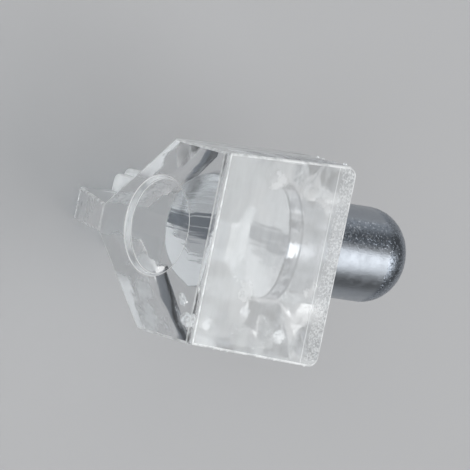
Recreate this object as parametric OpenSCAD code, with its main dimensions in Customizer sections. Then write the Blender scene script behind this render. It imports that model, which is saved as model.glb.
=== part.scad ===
// Shelf support pin: a clear moulded bracket carried by a steel pin.
// X points out of the cabinet wall, Y runs along the wall, Z is up.
// The origin is where the pin's axis crosses the wall face.

/* [Head] */
// How far the head stands out from the wall
head_depth = 8.7; // [7.5:0.1:12]
// Width of the head at the wall
wall_width = 10.6; // [10.2:0.1:15]
// Width of the head at its front face
front_width = 10; // [9.5:0.1:10]
// Height of the upright sides, from the shelf face down
side_height = 4.4; // [3.5:0.1:6]
// Height of the sloping flanks, from the sides down to the nose
flank_height = 4.7; // [4.2:0.1:6]
// Width of the nose, where the two flanks run into the rib
nose_width = 1.5; // [1:0.1:2]
// Rounding of the head's two upright corners at the wall
corner_radius = 0.6; // [0.1:0.05:1]
// Sideways shift of the head's middle from the pin's axis
head_shift = 0.55; // [-0.6:0.05:0.6]

/* [Leg] */
// Overall height from the shelf face to the foot of the leg
total_height = 16; // [13:0.1:30]
// Width of the leg plate that lies on the wall
leg_width = 4.5; // [4.2:0.1:6]
// Thickness of the leg plate
leg_thickness = 2.3; // [1:0.1:2.6]
// Width of the raised pad in front of the leg plate
pad_width = 3.8; // [3:0.1:4.1]
// Thickness of the raised pad
pad_thickness = 0.6; // [0.3:0.1:1]
// How far the rib's foot stands out in front of the pad
rib_foot = 2.1; // [0.5:0.1:3]
// Rounding of the leg plate's lower corners
leg_radius = 0.4; // [0.1:0.05:0.9]

/* [Pin] */
// Diameter of the steel pin
pin_d = 5; // [4.5:0.1:5.4]
// Length of the pin that stands out behind the wall face
pin_reach = 7.1; // [5:0.1:15]
// Height of the shelf face above the pin's axis
axis_drop = 4.5; // [4.2:0.1:5]
// Rounding of the pin's free end
tip_radius = 1.9; // [0.3:0.1:2.1]
// How much slimmer the pin is where the plastic grips it
shank_step = 0.2; // [0.15:0.05:0.4]
// Diameter of the pin's head, which is sunk in the plastic
head_d = 5.5; // [5.2:0.1:6.5]
// Thickness of the pin's head
head_thickness = 1; // [0.5:0.1:1.5]
// Distance from the wall face to the pin's head
head_setback = 1.9; // [1:0.1:2.5]

/* [Front recess] */
// Diameter of the shallow round recess that the mould leaves in the front face
recess_d = 5.3; // [3:0.1:6]
// Depth of the recess
recess_depth = 0.35; // [0.1:0.05:1]

/* [Hidden] */
// Gap left between the steel and the plastic moulded round it
moulding_gap = 0.01;
// How much wider than the pin the bevel round its exit opens
exit_play = 0.05;
// Overshoot that carries a cutting face past the face it cuts
over = 1;
pin_r = pin_d / 2;
shank_r = pin_r - shank_step;
exit_bevel = shank_step + exit_play;
nose_z = axis_drop - side_height - flank_height;
foot_z = axis_drop - total_height;
draft = atan((wall_width - front_width) / 2 / head_depth);
pad_front = leg_thickness + pad_thickness;
rib_front = pad_front + rib_foot;
$fn = 96;

// A profile drawn in Y and Z, run along X from start to finish
module along_x(start, finish) {
    translate([start, 0, 0])
        rotate([90, 0, 90])
        linear_extrude(finish - start) children();
}

// Half of the front view: upright side, flank, then the rib below
module half_profile() {
    far = wall_width;
    nose_y = (nose_width - front_width) / 2;
    polygon([
        [-far, axis_drop],
        [0, axis_drop],
        [0, axis_drop - side_height],
        [nose_y, nose_z],
        [nose_y, foot_z],
        [-far, foot_z]
    ]);
}

// Everything on one side of the drafted side, flank and rib faces
module drafted_half() {
    translate([0, wall_width / 2, 0])
        rotate([0, 0, -draft])
        along_x(-over, head_depth + over) half_profile();
}

// The head seen from above, round at its wall corners
module plan_outline() {
    reach = wall_width / 2 - corner_radius;
    translate([corner_radius, -wall_width]) square([head_depth, 2 * wall_width]);
    translate([0, -reach]) square([head_depth, 2 * reach]);
    for (side = [-1, 1]) translate([corner_radius, side * reach]) circle(corner_radius);
}

// The head and rib seen from the side
module side_outline() {
    polygon([
        [0, axis_drop],
        [head_depth, axis_drop],
        [head_depth, nose_z],
        [rib_front, foot_z],
        [0, foot_z]
    ]);
}

module head_and_rib() {
    intersection() {
        drafted_half();
        mirror([0, 1, 0]) drafted_half();
        translate([0, 0, foot_z]) linear_extrude(total_height) plan_outline();
        translate([0, wall_width, 0])
            rotate([90, 0, 0])
            linear_extrude(2 * wall_width) side_outline();
    }
}

// A plate that hangs below the head, round at its lower corners
module hanging_plate(start, finish, width) {
    half = width / 2;
    rise = -foot_z - leg_radius;
    along_x(start, finish) {
        translate([-half, foot_z + leg_radius]) square([width, rise]);
        translate([leg_radius - half, foot_z]) square([width - 2 * leg_radius, total_height / 2]);
        for (side = [-1, 1])
            translate([side * (half - leg_radius), foot_z + leg_radius]) circle(leg_radius);
    }
}

// A revolved profile whose own height runs along X, away from the wall
module turned_on_x() {
    rotate([0, 90, 0]) rotate_extrude() children();
}

// The stretch of pin inside the plastic, grown all round by the given amount
module shank_outline(grow) {
    translate([0, -over]) square([shank_r + grow, head_setback + over]);
    translate([0, head_setback - grow])
        square([head_d / 2 + grow, head_thickness + 2 * grow]);
}

// The free stretch of pin, up to the wall face, with its rounded end
module free_outline() {
    core_r = pin_r - tip_radius;
    end_y = -pin_reach;
    translate([0, end_y]) square([core_r, pin_reach - moulding_gap]);
    translate([0, end_y + tip_radius]) square([pin_r, pin_reach - tip_radius - moulding_gap]);
    intersection() {
        translate([0, end_y]) square([pin_r, pin_reach]);
        translate([core_r, end_y + tip_radius]) circle(tip_radius);
    }
}

module bracket() {
    color([0.86, 0.89, 0.9])
        difference() {
            translate([0, head_shift, 0]) {
                head_and_rib();
                hanging_plate(0, leg_thickness, leg_width);
                hanging_plate(leg_thickness - over / 2, pad_front, pad_width);
            }
            turned_on_x() shank_outline(moulding_gap);
            translate([head_depth - recess_depth, 0, 0])
                rotate([0, 90, 0])
                cylinder(d = recess_d, h = recess_depth + over);
            translate([-exit_bevel, 0, 0])
                rotate([0, 90, 0])
                cylinder(r1 = shank_r + 2 * exit_bevel, r2 = shank_r, h = 2 * exit_bevel);
        }
}

module pin() {
    color([0.62, 0.65, 0.68])
        turned_on_x() {
            shank_outline(0);
            free_outline();
        }
}

bracket();
pin();
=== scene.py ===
import math

import bmesh
import bpy
from mathutils import Matrix, Vector, noise


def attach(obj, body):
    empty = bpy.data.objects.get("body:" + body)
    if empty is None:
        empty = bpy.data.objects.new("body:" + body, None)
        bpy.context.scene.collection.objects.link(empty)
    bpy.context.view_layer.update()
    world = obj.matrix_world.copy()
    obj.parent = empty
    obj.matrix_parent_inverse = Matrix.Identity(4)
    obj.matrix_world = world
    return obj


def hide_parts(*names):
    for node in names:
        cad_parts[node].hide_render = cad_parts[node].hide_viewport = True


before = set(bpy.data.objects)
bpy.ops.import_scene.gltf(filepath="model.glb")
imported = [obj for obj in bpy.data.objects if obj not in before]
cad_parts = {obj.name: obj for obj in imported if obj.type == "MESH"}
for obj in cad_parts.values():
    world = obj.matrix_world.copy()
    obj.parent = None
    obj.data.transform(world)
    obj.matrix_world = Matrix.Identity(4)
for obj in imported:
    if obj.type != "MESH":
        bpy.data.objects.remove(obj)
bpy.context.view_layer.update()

MM = 0.001

# ---------------------------------------------------------------- sizes, in mm
# X runs from the wall to the front, Z runs up, and the pin's axis is the X axis.

HEAD_DEPTH = 8.7
WALL_WIDTH = 10.6
FRONT_WIDTH = 10.0
SIDE_HEIGHT = 4.4
FLANK_HEIGHT = 4.7
NOSE_WIDTH = 1.5
HEAD_SHIFT = 0.55
CORNER_R = 0.6
LIP_R = 0.3
EDGE_ROUNDING = 0.13
TOP_Z = 4.5
TOTAL_HEIGHT = 16.0

LEG_WIDTH = 4.5
LEG_THICKNESS = 2.3
LEG_CORNER_R = 0.4
PAD_WIDTH = 3.8
PAD_THICKNESS = 0.6
PAD_OVERLAP = 0.5
RIB_FOOT = 2.1

PIN_R = 2.5
PIN_REACH = 7.1
TIP_R = 1.9
SHANK_R = 2.3
PIN_HEAD_R = 2.75
PIN_HEAD_THICKNESS = 1.0
PIN_HEAD_SETBACK = 1.9
PIN_HEAD_EDGE = 0.05
EXIT_BEVEL = 0.25
EXIT_GAP = 0.01
GRIP = 0.005

RECESS_R = 2.65
RECESS_DEPTH = 0.35
RECESS_SHIFT = 0.15
MOUTH_R = 0.12
RECESS_FOOT_R = 0.05
RECESS_DRAFT = 0.01

FLOOR_R = 420
FLOOR_GAP = 0.05

SIDE_Z = TOP_Z - SIDE_HEIGHT
NOSE_Z = SIDE_Z - FLANK_HEIGHT
FOOT_Z = TOP_Z - TOTAL_HEIGHT
PAD_FRONT = LEG_THICKNESS + PAD_THICKNESS
RIB_FRONT = PAD_FRONT + RIB_FOOT
DRAFT = (WALL_WIDTH - FRONT_WIDTH) / 2 / HEAD_DEPTH
PIN_HEAD_BACK = PIN_HEAD_SETBACK
PIN_HEAD_FRONT = PIN_HEAD_SETBACK + PIN_HEAD_THICKNESS

# Voids in the plastic: x, y, z, radius.
BUBBLES = [(7.18, 4.36, 3.0, 0.34), (3.76, 3.55, 0.58, 0.28), (2.32, 4.50, 3.0, 0.34)]

# Crumbs of flash: x, side, z, radius.
FLASH = [
    (7.0, 1, 4.40, 0.11), (6.75, 1, 4.44, 0.08), (6.5, 1, 4.42, 0.10), (6.1, 1, 4.38, 0.13),
    (5.2, 1, 4.43, 0.08), (4.1, 1, 4.42, 0.10), (2.9, 1, 4.41, 0.11), (1.9, 1, 4.43, 0.08),
    (0.9, 1, 4.40, 0.12), (0.12, -1, 1.2, 0.13), (0.10, -1, 1.7, 0.09), (0.12, -1, 2.6, 0.11),
    (0.10, -1, 3.5, 0.13), (2.2, -1, 4.43, 0.09), (4.8, -1, 4.42, 0.10), (8.58, 1, 2.2, 0.10),
    (8.56, 1, 0.9, 0.12), (8.58, -1, 3.1, 0.09)]
FLASH_SUNK = 0.09

# Lumpy balls: how finely divided, how lumpy, and how closely the lumps follow each other.
BUBBLE_SKIN = (3, 0.35, 5)
CRUMB_SKIN = (2, 0.5, 9)
CRUMB_VARIETY = 7

# Scuffs on the shelf face: x, y, radius.
SCUFFS = [(5.95, 2.28, 1.0), (5.14, -3.43, 0.9), (1.45, -2.79, 0.8), (1.55, 2.03, 0.7),
          (6.6, -0.4, 0.5)]

# Steps in a full turn, round the pin's tip, and across each rounded edge.
TURN_STEPS = 128
TIP_STEPS = 10
CORNER_STEPS = 6
LEG_CORNER_STEPS = 4
EDGE_STEPS = 3
ARC_STEPS = 4
FLOOR_STEPS = 96

# Angles, in degrees: what is flat, what is sharp, and what is shaded smooth.
FLAT_ANGLE = 1
SHARP_ANGLE = 25
BRACKET_SMOOTH = 30
PIN_SMOOTH = 35

# Distances that count as touching, in mm.
NEAR = 0.01
TURNED_WELD = 1e-5
CUT_WELD = 1e-4
SLIVER = 2e-3

# Material slots of the bracket, after the plain plastic in slot 0.
EDGE_SLOT = 1
BUBBLE_SLOT = 2

# ---------------------------------------------------------------- colours

PLASTIC_TINT = (0.87, 0.885, 0.895)
PLASTIC_SHADOW = (0.8, 0.82, 0.83)
PLASTIC_IOR = 1.59
MILK = (0.74, 0.76, 0.77)
PALE_MILK = (0.90, 0.92, 0.93)
# partly painted light: the white of the chalky strip on the flanks
CHALK_AND_LIGHT = (0.95, 0.96, 0.97)

# painted shade: the plating outside the plastic is darker than the same plating inside it,
# darkening what it reflects of the pale room
PLATING = (0.39, 0.42, 0.46)
PLATING_IN_PLASTIC = (0.58, 0.60, 0.63)
# partly the pits' own colour, partly painted shade on the pin's upper side
PITTED_AND_SHADED = (0.27, 0.32, 0.39)
# painted highlight: bright glints among the pits
PAINTED_GLINTS = (0.74, 0.79, 0.86)
SHEARED_FACE = (0.88, 0.90, 0.92)
# painted shade: the dark band across the middle of the head's face
PAINTED_SHADE_BAND = (0.22, 0.25, 0.29)
# painted light: the bright lower part of the head's face
PAINTED_LIGHT_ZONE = (0.92, 0.94, 0.96)
HEAD_RIM = (0.74, 0.76, 0.79)
RIM_SHADOW = (0.10, 0.12, 0.15)
# the pin's tip is darker
DARK_TIP = (0.26, 0.29, 0.33)

FLOOR_PAINT = (0.46, 0.465, 0.475)

# ---------------------------------------------------------------- finishes

PLASTIC_ROUGHNESS = 0.05
WALL_STRIP_ROUGHNESS = 0.2
LEG_ROUGHNESS = 0.3
MILK_ROUGHNESS = 0.6
FLOOR_ROUGHNESS = 0.7

# The rougher strip of the shelf face ends between these distances from the wall, in mm.
WALL_STRIP = (0.9, 1.2)
# A fine line runs across the shelf face at the strip's end: its place, and where it fades.
LINE_X = 1.2
LINE_FADE = (0.02, 0.07)
LINE_MILK = 0.75
# The chalky strip on the flanks, partly painted light: how far its ragged edge reaches, and
# where it starts across.
CHALK_LIGHT_REACH = 3.4
CHALK_LIGHT_FADE = (-0.3, 0.4)
CHALK_LIGHT_ACROSS = (2.2, 3.2)
CHALK_LIGHT_MILK = 0.9
# The rings of the recess: how white they are, and how white the wall between them is.
RING_MILK = 0.8
RING_WALL = 0.4
RING_FADE = (0.02, 0.05)
RING_WALL_FADE = (0.11, 0.15)
# The rest of the milkiness: on the rib, from the middle to the sides of the leg, the edges
# and the bubbles; the lip has only a part of what other edges have.
RIB_MILK = 0.3
LEG_MILK = (0.02, 0.5)
EDGE_WHITENING = 0.82
BUBBLE_WHITENING = 0.75
LIP_PART = 0.25
LIP_FADE = (0.14, 0.24)
# Where the milkiness is chalky, and where it is painted light on the flanks, it turns white
# between these two amounts.
CHALK_AND_LIGHT_RISE = (0.1, 0.5)
# Scuffs have torn edges: how much is torn off, and where they fade, in parts of the radius.
SCUFF_TEAR = 2.4
SCUFF_FADE = (1.5, 2.1)

# Heights of the plastic's skin, and the strength and depth in mm of its bumps.
WAVE_HEIGHT = 0.06
FLANK_WAVE_HEIGHT = 0.3
PEEL_HEIGHT = 0.05
STRIP_GRAIN_HEIGHT = 0.12
PLASTIC_BUMP = (0.4, 0.25)

# The head's face: how far its lines waver, the place of the painted shade band, the slope of
# the painted light zone and where both fade, in mm.
SHEAR_WAVER = 2.4
SHADE_BAND_Y = -0.25
SHADE_BAND_FADE = (0.3, 0.6)
LIT_ZONE_SLOPE = 0.46
LIT_ZONE_FADE = (1.0, 1.6)
RIM_END_FADE = (0.26, 0.42)

# How strongly each part of the steel takes its colour, its dullness and its height.
# partly pits, partly painted shade: how much the pitted places darken
PITTED_SHADE_TINT = 0.6
SHADE_BAND_TINT = 0.9
TIP_TINT = 0.8
TIP_SHINE = -0.06
HEAD_POLISH = 0.72
# painted light: the head face's lit lower part is made duller, and paler and half diffuse
LIT_ZONE_DULLNESS = 0.42
LIT_ZONE_PALENESS = 0.85
PLAIN_PITS = 0.1
GRAIN_HEIGHT = 0.3
SHEAR_WAVE_HEIGHT = 3.0
TURNING_HEIGHT = 3.0
STEEL_BUMP = (0.5, 0.04)

# Noises: features per metre, detail and, where the pattern is drawn out, its stretch.
SAND = (9000, 2.0)
WAVES = (420, 2.0)
PEEL = (1900, 4.0)
SCUFF_EDGE = (800, 5.0)
CHALK_LIGHT_EDGE = (700, 3.0)
SHEAR_LINES = (900, 5.0, (1.0, 6.0, 0.25))
SHEAR_WAVES = (500, 1.0, (1.0, 1.0, 0.2))
TURNING = (900, 3.0, (1.6, 0.7, 0.7))
PLATING_GRAIN = (11000, 2.0)

# Patterns: a noise, the noise values between which the pattern rises, and the amounts there.
STREAKS = ((500, 6.0, (1.6, 0.35, 1.0)), (0.3, 0.7), (0.32, 0.46))
STRIP_GRAINS = (SAND, (0.35, 0.65), (0.3, 0.75))
SCUFF_MARKS = ((1300, 6.0), (0.42, 0.6), (0.2, 0.75))
DRAWN_LINES = ((700, 3.0, (0.15, 1.0, 2.0)), (0.42, 0.6), (0.08, 0.75))
LEG_FROST = ((1400, 3.0), (0.4, 0.6), (0.2, 1.0))
WISPS = ((450, 5.0, (0.5, 1.0, 1.0)), (0.48, 0.62), (0.03, 0.6))
EDGE_PATCHES = ((1500, 3.0), (0.35, 0.6), (0.6, 1.1))
RIM_BLOTCHES = ((1300, 2.0, (0.6, 1.0, 1.0)), (0.5, 0.62), (0.0, 0.8))
GLINTS = ((6500, 2.0), (0.55, 0.66), (0.0, 0.8))
PITS = ((8000, 1.0), (0.58, 0.70), (0.0, 0.8))
PLATING_DULLNESS = ((3000, 3.0), (0.35, 0.7), (0.28, 0.38))

# ---------------------------------------------------------------- light and camera

# Lamps: name, direction, distance in m, size in m, power in W.
LAMPS = [("key", (-0.44, 0.19, 0.88), 0.5, (0.44, 0.44), 1.45),
         ("fill", (0.62, -0.03, 0.76), 0.7, (0.85, 0.60), 2.3),
         ("card", (0.0, -1.0, 0.14), 0.35, (0.8, 0.2), 0.3)]

ROOM_LIGHT = 0.3
ROOM_SEEN_BY = (("Is Glossy Ray", 0.14), ("Is Transmission Ray", 0.5), ("Is Camera Ray", 0.85))

CAMERA_RIGHT = Vector((-0.763972, -0.202614, 0.612612))
CAMERA_DOWN = Vector((-0.117548, 0.977235, 0.176617))
CAMERA_PLACE = Vector((321.06, -31.468, 385.65))
CAMERA_LENS = 743.4
CAMERA_SENSOR = 36
CAMERA_CLIP = (0.05, 20)


# ---------------------------------------------------------------- mesh helpers

def link_mesh(name, bm):
    mesh = bpy.data.meshes.new(name)
    bm.to_mesh(mesh)
    bm.free()
    thing = bpy.data.objects.new(name, mesh)
    bpy.context.scene.collection.objects.link(thing)
    return thing


def finish_piece(name, bm, *materials):
    """A piece in the frame's metres, from a bmesh drawn in millimetres."""
    bmesh.ops.scale(bm, vec=(MM, MM, MM), verts=bm.verts)
    piece = link_mesh(name, bm)
    for material in materials:
        piece.data.materials.append(material)
    return piece


def prism(outline, start, finish, lean=0.0):
    """A (y, z) outline run along X; each side leans inwards by `lean` per mm of X."""
    bm = bmesh.new()
    verts = [bm.verts.new((start, y, z)) for y, z in outline]
    face = bm.faces.new(verts)
    run = bmesh.ops.extrude_face_region(bm, geom=[face])
    far = [v for v in run["geom"] if isinstance(v, bmesh.types.BMVert)]
    bmesh.ops.translate(bm, vec=(finish - start, 0, 0), verts=far)
    for v in bm.verts:
        side = math.copysign(1, v.co.y)
        v.co.y -= side * lean * v.co.x
    bmesh.ops.recalc_face_normals(bm, faces=bm.faces)
    return bm


def turned(profile):
    """A closed (x, r) profile spun about the X axis."""
    bm = bmesh.new()
    verts = [bm.verts.new((x, r, 0)) for x, r in profile]
    edges = [bm.edges.new(pair) for pair in zip(verts, verts[1:])]
    bmesh.ops.spin(bm, geom=verts + edges, cent=(0, 0, 0), axis=(1, 0, 0),
                   angle=math.tau, steps=TURN_STEPS, use_merge=True)
    bmesh.ops.remove_doubles(bm, verts=bm.verts, dist=TURNED_WELD)
    bmesh.ops.recalc_face_normals(bm, faces=bm.faces)
    return bm


def arc(x, r, radius, start, finish, steps=ARC_STEPS):
    """Points of an arc about (x, r), from one angle to another, in degrees."""
    angles = (math.radians(start + (finish - start) * i / steps) for i in range(steps + 1))
    return [(x + radius * math.cos(a), r + radius * math.sin(a)) for a in angles]


def rounded(bm, edges, radius, segments):
    """Rounds the edges, and gives back the faces that this makes."""
    made = bmesh.ops.bevel(bm, geom=edges, offset=radius, segments=segments, profile=0.5,
                           affect="EDGES", material=-1)
    return made["faces"]


def lumpy_ball(bm, centre, radius, skin, seed):
    """A ball whose skin swells and sinks."""
    subdivisions, lumps, scale = skin
    ball = bmesh.ops.create_icosphere(bm, subdivisions=subdivisions, radius=radius)["verts"]
    for vert in ball:
        vert.co *= 1 + lumps * noise.noise(vert.co * scale + seed)
        vert.co += centre
    return ball


def take_modifiers(thing):
    """Makes what the modifiers give the thing's own mesh."""
    bpy.context.view_layer.update()
    seen = thing.evaluated_get(bpy.context.evaluated_depsgraph_get())
    made = bpy.data.meshes.new_from_object(seen)
    thing.modifiers.clear()
    thing.data = made


def combine(base, other, operation):
    """Joins or cuts `base` with `other`, which is used up."""
    mod = base.modifiers.new("combine", "BOOLEAN")
    mod.object = other
    mod.operation = operation
    mod.solver = "EXACT"
    take_modifiers(base)
    bpy.data.objects.remove(other)


def soften(thing, width):
    """Rounds every sharp outer edge and gives it the edge finish."""
    bm = bmesh.new()
    bm.from_mesh(thing.data)
    bmesh.ops.remove_doubles(bm, verts=bm.verts, dist=CUT_WELD)
    bmesh.ops.dissolve_limit(bm, angle_limit=math.radians(FLAT_ANGLE), verts=bm.verts,
                             edges=bm.edges, delimit={"MATERIAL"})
    weight = bm.edges.layers.float.new("bevel_weight_edge")
    for edge in bm.edges:
        sharp = edge.calc_face_angle(0) > math.radians(SHARP_ANGLE)
        if len(edge.link_faces) == 2 and sharp and edge.is_convex:
            edge[weight] = 1.0
    bm.to_mesh(thing.data)
    bm.free()
    mod = thing.modifiers.new("soften", "BEVEL")
    mod.limit_method = "WEIGHT"
    mod.width = width
    mod.segments = EDGE_STEPS
    mod.profile = 0.5
    mod.material = EDGE_SLOT
    mod.use_clamp_overlap = False
    take_modifiers(thing)


def smooth_by_angle(piece, angle):
    for face in piece.data.polygons:
        face.use_smooth = True
    piece.data.set_sharp_from_angle(angle=math.radians(angle))


# ---------------------------------------------------------------- node helpers

class Shader:
    """A material's node tree, with short ways to add and join nodes."""

    def __init__(self, name):
        self.material = bpy.data.materials.new(name)
        self.material.use_nodes = True
        self.tree = self.material.node_tree
        self.tree.nodes.clear()
        self.output = self.add("ShaderNodeOutputMaterial")

    def add(self, kind, **settings):
        node = self.tree.nodes.new(kind)
        for key, value in settings.items():
            setattr(node, key, value)
        return node

    def join(self, source, target):
        self.tree.links.new(source, target)

    def place(self):
        """The point on the piece, in metres."""
        return self.add("ShaderNodeTexCoord").outputs["Object"]

    def axis(self, name):
        node = self.add("ShaderNodeSeparateXYZ")
        self.join(self.place(), node.inputs["Vector"])
        return node.outputs[name]

    def noise(self, scale, detail, stretch=None):
        """A noise whose scale is in features per metre."""
        node = self.add("ShaderNodeTexNoise")
        node.inputs["Scale"].default_value = scale
        node.inputs["Detail"].default_value = detail
        if stretch is None:
            self.join(self.place(), node.inputs["Vector"])
        else:
            mapping = self.add("ShaderNodeMapping")
            mapping.inputs["Scale"].default_value = stretch
            self.join(self.place(), mapping.inputs["Vector"])
            self.join(mapping.outputs["Vector"], node.inputs["Vector"])
        return node.outputs["Fac"]

    def ramp(self, factor, start, finish, low, high):
        """Maps factor from start..finish to low..high, smoothly."""
        node = self.add("ShaderNodeMapRange", interpolation_type="SMOOTHSTEP")
        node.inputs["From Min"].default_value = start
        node.inputs["From Max"].default_value = finish
        node.inputs["To Min"].default_value = low
        node.inputs["To Max"].default_value = high
        self.join(factor, node.inputs["Value"])
        return node.outputs["Result"]

    def fade(self, measure, start, finish, low=0.0, high=1.0):
        """Maps a measure from start..finish, in mm, to low..high."""
        return self.ramp(measure, start * MM, finish * MM, low, high)

    def zone(self, name, start, finish, low=0.0, high=1.0):
        """Maps a stretch of one axis, in mm, to low..high."""
        return self.fade(self.axis(name), start, finish, low, high)

    def pattern(self, grain, rise, amounts):
        """A noise that rises from one amount to another between two of its values."""
        return self.ramp(self.noise(*grain), *rise, *amounts)

    def math(self, operation, first, second):
        node = self.add("ShaderNodeMath", operation=operation)
        for socket, value in zip(node.inputs, (first, second)):
            if isinstance(value, (int, float)):
                socket.default_value = value
            else:
                self.join(value, socket)
        return node.outputs["Value"]

    def chain(self, operation, values):
        result = values[0]
        for value in values[1:]:
            result = self.math(operation, result, value)
        return result

    def times(self, *values):
        return self.chain("MULTIPLY", values)

    def plus(self, *values):
        return self.chain("ADD", values)

    def most(self, *values):
        return self.chain("MAXIMUM", values)

    def minus(self, first, second):
        return self.math("SUBTRACT", first, second)

    def away(self, measure, centre):
        """How far a measure lies from a centre given in mm."""
        return self.math("ABSOLUTE", self.minus(measure, centre * MM), 0.0)

    def tinted(self, under, color, amount):
        """Covers `under`, a colour or a socket, with a colour by the given amount."""
        mix = self.add("ShaderNodeMix", data_type="RGBA")
        if isinstance(under, tuple):
            mix.inputs["A"].default_value = (*under, 1)
        else:
            self.join(under, mix.inputs["A"])
        mix.inputs["B"].default_value = (*color, 1)
        self.join(amount, mix.inputs["Factor"])
        return mix.outputs["Result"]

    def mixed(self, amount, first, second):
        """Goes from the first shader to the second by the given amount."""
        mix = self.add("ShaderNodeMixShader")
        self.join(amount, mix.inputs["Fac"])
        self.join(first, mix.inputs[1])
        self.join(second, mix.inputs[2])
        return mix.outputs["Shader"]

    def bump(self, height, strength, distance):
        """A normal from a height; the distance is in mm."""
        node = self.add("ShaderNodeBump")
        node.inputs["Strength"].default_value = strength
        node.inputs["Distance"].default_value = distance * MM
        self.join(height, node.inputs["Height"])
        return node.outputs["Normal"]


# ---------------------------------------------------------------- zones of the bracket

def on_shelf_face(s):
    return s.zone("Z", TOP_Z - 0.12, TOP_Z - 0.01)


def across_head(s):
    """How far a point lies from the middle of the head's width."""
    return s.away(s.axis("Y"), HEAD_SHIFT)


def on_leg(s):
    """One on the leg's plate and pad, zero on the head."""
    return s.times(s.zone("X", PAD_FRONT + 0.15, PAD_FRONT + 0.25, 1.0, 0.0),
                   s.zone("Z", NOSE_Z + 0.2, NOSE_Z + 0.8, 1.0, 0.0))


def on_rib_sides(s):
    """One on the two sides of the rib, zero on its front slope and elsewhere."""
    half = NOSE_WIDTH / 2
    return s.times(s.fade(across_head(s), half - 0.07, half - 0.02),
                   s.zone("Z", NOSE_Z - 0.1, NOSE_Z, 1.0, 0.0))


def on_recess_rings(s):
    """One on the thin rings at the recess's foot and mouth, less on the wall between them."""
    across = s.away(s.axis("Y"), RECESS_SHIFT)
    upward = s.axis("Z")
    radius = s.math("SQRT", s.plus(s.times(across, across), s.times(upward, upward)), 0.0)
    rings = s.fade(s.away(radius, RECESS_R - MOUTH_R), *RING_WALL_FADE, RING_WALL, 0.0)
    for ring_r in (RECESS_R - MOUTH_R - 0.07, RECESS_R - 0.05):
        rings = s.most(rings, s.fade(s.away(radius, ring_r), *RING_FADE, 1.0, 0.0))
    return s.times(rings, s.zone("X", HEAD_DEPTH - 0.5, HEAD_DEPTH - 0.4))


# ---------------------------------------------------------------- the plastic

def surface_ripple(s, top, wall_strip):
    """The height of the skin: waves on the flanks, a fine peel on top, grain by the wall."""
    low = s.zone("Z", SIDE_Z - 0.5, SIDE_Z + 0.5, 1.0, 0.0)
    waves = s.times(s.noise(*WAVES), s.plus(s.times(low, FLANK_WAVE_HEIGHT), WAVE_HEIGHT))
    peel = s.times(s.noise(*PEEL), top, PEEL_HEIGHT)
    return s.plus(waves, s.times(s.noise(*SAND), wall_strip, STRIP_GRAIN_HEIGHT), peel)


def shelf_milk(s, top, wall_strip):
    """The shelf face's milkiness: long streaks, scuffs, a fine line and a grainy strip."""
    line = s.fade(s.away(s.axis("X"), LINE_X), *LINE_FADE, LINE_MILK, 0.0)
    milk = s.most(s.times(top, s.pattern(*STREAKS)), s.times(top, line),
                  s.times(wall_strip, s.pattern(*STRIP_GRAINS)))
    scuffed = s.times(top, s.pattern(*SCUFF_MARKS))
    for x, y, radius in SCUFFS:
        gap = s.add("ShaderNodeVectorMath", operation="DISTANCE")
        s.join(s.place(), gap.inputs[0])
        gap.inputs[1].default_value = (x * MM, y * MM, TOP_Z * MM)
        torn_edge = s.times(s.noise(*SCUFF_EDGE), radius * SCUFF_TEAR * MM)
        reach = s.plus(gap.outputs["Value"], torn_edge)
        near = s.fade(reach, *(radius * part for part in SCUFF_FADE), 1.0, 0.0)
        milk = s.most(milk, s.times(near, scuffed))
    return milk


def side_milk(s, across, leg):
    """Drawn lines on the upright sides, and frost on the sides of the leg and the rib."""
    half_front, half_pad = FRONT_WIDTH / 2, PAD_WIDTH / 2
    sides = s.times(s.fade(across, half_front - 0.12, half_front - 0.02),
                    s.pattern(*DRAWN_LINES))
    leg_sides = s.times(leg, s.fade(across, half_pad - 0.1, half_pad, *LEG_MILK),
                        s.pattern(*LEG_FROST))
    return s.most(sides, leg_sides, s.times(on_rib_sides(s), RIB_MILK))


def flank_milk_and_light(s, across):
    """Thin wisps on the flanks, and the ragged chalky strip behind their front edge; both are
    partly painted light, whitened where light through the plastic shows bright.
    """
    flank = s.times(s.zone("Z", SIDE_Z - 0.3, SIDE_Z, 1.0, 0.0),
                    s.zone("X", HEAD_DEPTH - 0.5, HEAD_DEPTH - 0.4, 1.0, 0.0),
                    s.zone("X", 0.05, 0.15))
    behind = s.minus(HEAD_DEPTH * MM, s.axis("X"))
    ragged = s.plus(behind, s.times(s.noise(*CHALK_LIGHT_EDGE), -CHALK_LIGHT_REACH * MM))
    # partly painted light: the strip whitens the flank where refracted light shows bright white
    strip = s.times(s.fade(ragged, *CHALK_LIGHT_FADE, CHALK_LIGHT_MILK, 0.0), s.fade(across, *CHALK_LIGHT_ACROSS))
    return s.times(flank, s.most(s.pattern(*WISPS), strip)), s.times(flank, strip)


def edge_chalk(s, top, whitening):
    """The white of the rounded edges: faint along the front lip, and none by the wall below."""
    lip = s.away(s.minus(s.axis("X"), s.axis("Z")), HEAD_DEPTH - TOP_Z)
    off_lip = s.most(s.fade(lip, *LIP_FADE, LIP_PART, 1.0),
                     s.zone("X", HEAD_DEPTH - 0.7, HEAD_DEPTH - 0.5, 1.0, 0.0))
    off_wall = s.most(s.zone("X", 0.15, 0.35), top)
    return s.times(off_lip, off_wall, whitening, s.pattern(*EDGE_PATCHES))


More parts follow.
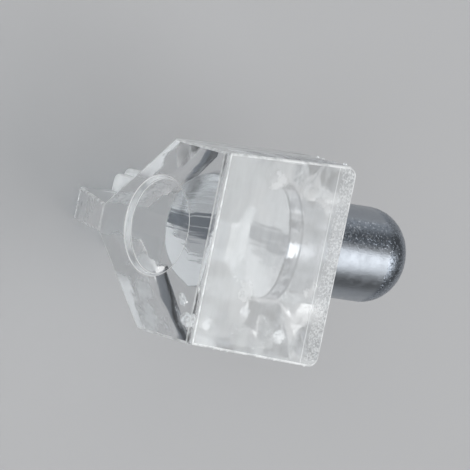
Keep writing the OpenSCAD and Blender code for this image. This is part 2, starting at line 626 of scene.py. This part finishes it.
def clear_plastic(name, whitening, milk_color):
    """Clear moulded plastic with its milky, chalky and frosted places; part of the chalky white
    on the flanks is painted light.
    """
    s = Shader(name)
    top, leg, across = on_shelf_face(s), on_leg(s), across_head(s)
    wall_strip = s.times(top, s.zone("X", *WALL_STRIP, 1.0, 0.0))

    glass = s.add("ShaderNodeBsdfPrincipled")
    glass.inputs["Base Color"].default_value = (*PLASTIC_TINT, 1)
    glass.inputs["Transmission Weight"].default_value = 1.0
    glass.inputs["IOR"].default_value = PLASTIC_IOR
    frost = s.most(s.times(wall_strip, WALL_STRIP_ROUGHNESS), s.times(leg, LEG_ROUGHNESS),
                   PLASTIC_ROUGHNESS)
    s.join(frost, glass.inputs["Roughness"])
    s.join(s.bump(surface_ripple(s, top, wall_strip), *PLASTIC_BUMP), glass.inputs["Normal"])

    flank, chalky_lit_flank = flank_milk_and_light(s, across)
    rings = s.times(on_recess_rings(s), RING_MILK)
    # partly painted light: the flank strip turns the veil white
    chalk_and_light = s.ramp(s.most(chalky_lit_flank, rings), *CHALK_AND_LIGHT_RISE, 0.0, 1.0)
    veil = s.add("ShaderNodeBsdfPrincipled")
    veil.inputs["Roughness"].default_value = MILK_ROUGHNESS
    s.join(s.tinted(milk_color, CHALK_AND_LIGHT, chalk_and_light), veil.inputs["Base Color"])

    milk = s.most(shelf_milk(s, top, wall_strip), side_milk(s, across, leg), flank, rings,
                  edge_chalk(s, top, whitening))
    hazy = s.mixed(milk, glass.outputs["BSDF"], veil.outputs["BSDF"])
    clear = s.add("ShaderNodeBsdfTransparent")
    clear.inputs["Color"].default_value = (*PLASTIC_SHADOW, 1)
    in_shadow = s.add("ShaderNodeLightPath").outputs["Is Shadow Ray"]
    s.join(s.mixed(in_shadow, hazy, clear.outputs["BSDF"]), s.output.inputs["Surface"])
    return s.material


# ---------------------------------------------------------------- the steel

def plated_steel():
    """Plated steel, pitted on its free end and sheared across its head. Painted shade darkens a
    band across the head's face and the pitted upper side, and painted light pales the face's
    lower part.
    """
    s = Shader("plated_finish")
    inside = s.zone("X", 0.1, 0.3)
    outside = s.minus(1.0, inside)
    tip = s.zone("X", TIP_R - PIN_REACH - 0.1, TIP_R - PIN_REACH + 0.3, 1.0, 0.0)
    # pits on the upper side; the same band is also painted darker and bluer, as shade for the
    # dark surroundings it reflects
    pitted_and_shaded_side = s.times(s.zone("Y", -0.85, -0.55, 1.0, 0.0), s.zone("Y", -2.0, -1.7))
    pitted_and_shaded = s.times(outside, s.most(pitted_and_shaded_side, tip))

    head = s.zone("X", PIN_HEAD_BACK - 0.02, PIN_HEAD_BACK)
    face = s.zone("X", PIN_HEAD_FRONT - 0.06, PIN_HEAD_FRONT - 0.03)
    rim = s.minus(head, face)
    shear_lines = s.noise(*SHEAR_LINES)
    wavering = s.plus(s.axis("Y"), s.times(s.minus(shear_lines, 0.5), SHEAR_WAVER * MM))
    # painted shade: a dark band across the middle of the head's face
    shade_band = s.times(s.fade(s.away(wavering, SHADE_BAND_Y), *SHADE_BAND_FADE, 1.0, 0.0), face)
    # painted light: the face's lower part, bounded by a slope, is painted bright
    sloped = s.minus(wavering, s.times(s.axis("Z"), LIT_ZONE_SLOPE))
    lit_zone = s.times(face, s.fade(sloped, *LIT_ZONE_FADE))
    rim_middle = (PIN_HEAD_BACK + PIN_HEAD_FRONT) / 2
    rim_ends = s.fade(s.away(s.axis("X"), rim_middle), *RIM_END_FADE)
    rim_shadow = s.times(rim, s.most(rim_ends, s.pattern(*RIM_BLOTCHES)))

    metal = s.add("ShaderNodeBsdfPrincipled")
    # painted shade: the same plating is darker outside the plastic than inside it
    color = s.tinted(PLATING, PLATING_IN_PLASTIC, inside)
    # partly pits, partly painted shade: the pitted places are darkened and blued
    color = s.tinted(color, PITTED_AND_SHADED, s.times(pitted_and_shaded, PITTED_SHADE_TINT))
    # painted highlight: bright glint specks tinted into the pitted places
    color = s.tinted(color, PAINTED_GLINTS, s.times(pitted_and_shaded, s.pattern(*GLINTS)))
    color = s.tinted(color, SHEARED_FACE, face)
    # painted shade: the dark band across the head's face
    color = s.tinted(color, PAINTED_SHADE_BAND, s.times(shade_band, SHADE_BAND_TINT))
    # painted light: the face's lower part is paled to stand in for the lamp light it shows
    color = s.tinted(color, PAINTED_LIGHT_ZONE, lit_zone)
    color = s.tinted(color, HEAD_RIM, rim)
    color = s.tinted(color, RIM_SHADOW, rim_shadow)
    # the tip is darker
    color = s.tinted(color, DARK_TIP, s.times(tip, TIP_TINT))
    s.join(color, metal.inputs["Base Color"])

    plating = s.plus(s.pattern(*PLATING_DULLNESS), s.times(tip, TIP_SHINE))
    polish = s.minus(1.0, s.times(head, HEAD_POLISH))
    dullness = s.plus(s.times(plating, polish), s.times(lit_zone, LIT_ZONE_DULLNESS))
    s.join(dullness, metal.inputs["Roughness"])
    # painted light: the lit zone is made half diffuse so that it shows pale
    s.join(s.minus(1.0, s.times(lit_zone, LIT_ZONE_PALENESS)), metal.inputs["Metallic"])

    pits = s.times(s.pattern(*PITS), s.plus(pitted_and_shaded, PLAIN_PITS))
    grain = s.times(s.noise(*PLATING_GRAIN), GRAIN_HEIGHT)
    plating_marks = s.times(s.plus(pits, grain), s.plus(outside, tip))
    shear_waves = s.times(s.noise(*SHEAR_WAVES), SHEAR_WAVE_HEIGHT)
    shear_marks = s.times(s.plus(shear_lines, shear_waves), face)
    turning_marks = s.times(s.noise(*TURNING), rim, TURNING_HEIGHT)
    height = s.plus(plating_marks, shear_marks, turning_marks)
    s.join(s.bump(height, *STEEL_BUMP), metal.inputs["Normal"])
    s.join(metal.outputs["BSDF"], s.output.inputs["Surface"])
    return s.material


# ---------------------------------------------------------------- the bracket

def rounded_plate(width, start, finish):
    """A hanging plate, round at its two lower corners."""
    half = width / 2
    bm = prism([(-half, 0), (-half, FOOT_Z), (half, FOOT_Z), (half, 0)], start, finish)
    corners = [e for e in bm.edges if all(v.co.z < FOOT_Z + NEAR for v in e.verts)
               and abs(e.verts[0].co.x - e.verts[1].co.x) > NEAR]
    rounded(bm, corners, LEG_CORNER_R, LEG_CORNER_STEPS)
    return bm


def head_and_rib():
    """The block with its flanks and nose, cut along the rib's slope, with its lip rounded."""
    half, nose = WALL_WIDTH / 2, NOSE_WIDTH / 2 + (WALL_WIDTH - FRONT_WIDTH) / 2
    right = [(half, TOP_Z), (half, SIDE_Z), (nose, NOSE_Z), (nose, FOOT_Z)]
    left = [(-y, z) for y, z in reversed(right)]
    bm = prism(right + left, 0, HEAD_DEPTH, DRAFT)
    slope = Vector((HEAD_DEPTH - RIB_FRONT, 0, NOSE_Z - FOOT_Z))
    outward = Vector((slope.z, 0, -slope.x)).normalized()
    bmesh.ops.bisect_plane(
        bm, geom=bm.verts[:] + bm.edges[:] + bm.faces[:], dist=CUT_WELD,
        plane_co=(RIB_FRONT, 0, FOOT_Z), plane_no=outward, clear_outer=True)
    bmesh.ops.holes_fill(bm, edges=[e for e in bm.edges if e.is_boundary], sides=0)
    bmesh.ops.recalc_face_normals(bm, faces=bm.faces)
    corners = [e for e in bm.edges
               if all(v.co.x < NEAR and abs(v.co.y) > half - NEAR for v in e.verts)
               and e.verts[0].co.y * e.verts[1].co.y > 0]
    rounded(bm, corners, CORNER_R, CORNER_STEPS)
    lip = [e for e in bm.edges
           if all(v.co.x > HEAD_DEPTH - NEAR and v.co.z > TOP_Z - NEAR for v in e.verts)]
    for face in rounded(bm, lip, LIP_R, CORNER_STEPS):
        face.material_index = EDGE_SLOT
    return bm


def pin_space():
    """The cavity that grips the pin's shank and head, and the bevel where the pin comes out."""
    shank, head = SHANK_R - GRIP, PIN_HEAD_R - GRIP
    back, front = PIN_HEAD_BACK + GRIP, PIN_HEAD_FRONT - GRIP
    return turned([(-1, 0), (-1, shank + 1 + EXIT_BEVEL), (EXIT_BEVEL, shank), (back, shank),
                   (back, head), (front, head), (front, 0)])


def recess_space():
    """The shallow round recess in the front face, rounded at its foot and its mouth."""
    floor_x, wall_r, past = HEAD_DEPTH - RECESS_DEPTH, RECESS_R - MOUTH_R, HEAD_DEPTH + 1
    foot_r = wall_r - RECESS_DRAFT - RECESS_FOOT_R
    foot = arc(floor_x + RECESS_FOOT_R, foot_r, RECESS_FOOT_R, 180, 90)
    mouth = arc(HEAD_DEPTH - MOUTH_R, RECESS_R, MOUTH_R, 270, 360)
    space = turned([(floor_x, 0)] + foot + mouth + [(past, RECESS_R), (past, 0)])
    bmesh.ops.translate(space, vec=(0, RECESS_SHIFT, 0), verts=space.verts)
    return space


def add_bubbles(bm):
    """Small lumpy voids left in the plastic, each a closed shell facing inwards."""
    for x, y, z, radius in BUBBLES:
        centre = Vector((x, y, z))
        ball = lumpy_ball(bm, centre, radius, BUBBLE_SKIN, centre)
        faces = {f for v in ball for f in v.link_faces}
        bmesh.ops.reverse_faces(bm, faces=list(faces))
        for face in faces:
            face.material_index = BUBBLE_SLOT


def flash_crumbs():
    """Small lumps of flash left along the upper side edges and down the wall edge."""
    bm = bmesh.new()
    for x, side, z, radius in FLASH:
        out = WALL_WIDTH / 2 - DRAFT * x - FLASH_SUNK
        centre = Vector((x, HEAD_SHIFT + side * out, z))
        for vert in lumpy_ball(bm, centre, radius, CRUMB_SKIN, centre * CRUMB_VARIETY):
            vert.co.x = min(max(vert.co.x, NEAR), HEAD_DEPTH - NEAR)
            vert.co.z = min(vert.co.z, TOP_Z - NEAR)
    for face in bm.faces:
        face.material_index = EDGE_SLOT
    return bm


def clear_bracket(*finishes):
    base = link_mesh("bracket_build", head_and_rib())
    for material in finishes:
        base.data.materials.append(material)
    plate = rounded_plate(LEG_WIDTH, 0, LEG_THICKNESS)
    combine(base, link_mesh("plate_build", plate), "UNION")
    pad = rounded_plate(PAD_WIDTH, LEG_THICKNESS - PAD_OVERLAP, PAD_FRONT)
    combine(base, link_mesh("pad_build", pad), "UNION")
    soften(base, EDGE_ROUNDING)
    base.data.transform(Matrix.Translation((0, HEAD_SHIFT, 0)))
    crumbs = link_mesh("crumbs_build", flash_crumbs())
    for material in finishes:
        crumbs.data.materials.append(material)
    combine(base, crumbs, "UNION")
    combine(base, link_mesh("space_build", pin_space()), "DIFFERENCE")
    combine(base, link_mesh("recess_build", recess_space()), "DIFFERENCE")
    bm = bmesh.new()
    bm.from_mesh(base.data)
    bpy.data.objects.remove(base)
    bmesh.ops.dissolve_degenerate(bm, dist=SLIVER, edges=bm.edges)
    add_bubbles(bm)
    piece = finish_piece("clear_bracket", bm, *finishes)
    smooth_by_angle(piece, BRACKET_SMOOTH)
    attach(piece, "root")
    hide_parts("bracket")


# ---------------------------------------------------------------- the pin

def steel_pin(material):
    tip = arc(TIP_R - PIN_REACH, PIN_R - TIP_R, TIP_R, 180, 90, TIP_STEPS)
    back, front, edge = PIN_HEAD_BACK, PIN_HEAD_FRONT, PIN_HEAD_EDGE
    shank = [(-EXIT_GAP, PIN_R), (-EXIT_GAP, SHANK_R), (back, SHANK_R)]
    head = [(back, PIN_HEAD_R - edge), (back + edge, PIN_HEAD_R),
            (front - edge, PIN_HEAD_R), (front, PIN_HEAD_R - edge), (front, 0)]
    piece = finish_piece("steel_pin", turned([(-PIN_REACH, 0)] + tip + shank + head), material)
    smooth_by_angle(piece, PIN_SMOOTH)
    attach(piece, "root")
    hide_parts("pin")


# ---------------------------------------------------------------- stage, light, camera

def floor():
    s = Shader("floor_paint")
    paint = s.add("ShaderNodeBsdfPrincipled")
    paint.inputs["Base Color"].default_value = (*FLOOR_PAINT, 1)
    paint.inputs["Roughness"].default_value = FLOOR_ROUGHNESS
    s.join(paint.outputs["BSDF"], s.output.inputs["Surface"])
    bm = bmesh.new()
    bmesh.ops.create_circle(bm, cap_ends=True, segments=FLOOR_STEPS, radius=FLOOR_R)
    bmesh.ops.translate(bm, vec=(0, 0, FOOT_Z - FLOOR_GAP), verts=bm.verts)
    piece = finish_piece("floor", bm, s.material)


def lamp(name, direction, distance, size, power):
    """A soft box that looks at the part from a direction."""
    data = bpy.data.lights.new(name, "AREA")
    data.shape = "RECTANGLE"
    data.size, data.size_y = size
    data.energy = power
    thing = bpy.data.objects.new(name, data)
    way = Vector(direction).normalized()
    thing.location = way * distance
    thing.rotation_euler = way.to_track_quat("Z", "Y").to_euler()
    bpy.context.scene.collection.objects.link(thing)


def room():
    """Even room light, with its own level for metal, for clear plastic and for the camera."""
    made = bpy.data.worlds.new("studio")
    bpy.context.scene.world = made
    made.use_nodes = True
    tree = made.node_tree
    back = tree.nodes["Background"]
    back.inputs["Color"].default_value = (1, 1, 1, 1)
    rays = tree.nodes.new("ShaderNodeLightPath")
    level = None
    for kind, strength in ROOM_SEEN_BY:
        step = tree.nodes.new("ShaderNodeMapRange")
        step.inputs["To Min"].default_value = ROOM_LIGHT
        step.inputs["To Max"].default_value = strength
        tree.links.new(rays.outputs[kind], step.inputs["Value"])
        if level is not None:
            tree.links.new(level.outputs["Result"], step.inputs["To Min"])
        level = step
    tree.links.new(level.outputs["Result"], back.inputs["Strength"])


def camera():
    """Long lens, above and in front of the recess, rolled so that the pin points right."""
    forward = CAMERA_RIGHT.cross(CAMERA_DOWN)
    data = bpy.data.cameras.new("camera")
    data.sensor_width = CAMERA_SENSOR
    data.lens = CAMERA_LENS
    data.clip_start, data.clip_end = CAMERA_CLIP
    thing = bpy.data.objects.new("camera", data)
    spin = Matrix((CAMERA_RIGHT, -CAMERA_DOWN, -forward)).transposed().to_4x4()
    thing.matrix_world = Matrix.Translation(CAMERA_PLACE * MM) @ spin
    bpy.context.scene.collection.objects.link(thing)
    bpy.context.scene.camera = thing


camera()
clear_bracket(clear_plastic("moulded_plastic", 0.0, MILK),
              clear_plastic("moulded_edge", EDGE_WHITENING, PALE_MILK),
              clear_plastic("bubble_skin", BUBBLE_WHITENING, CHALK_AND_LIGHT))
steel_pin(plated_steel())
floor()
for row in LAMPS:
    lamp(*row)
room()
bpy.context.scene.view_settings.view_transform = "Standard"
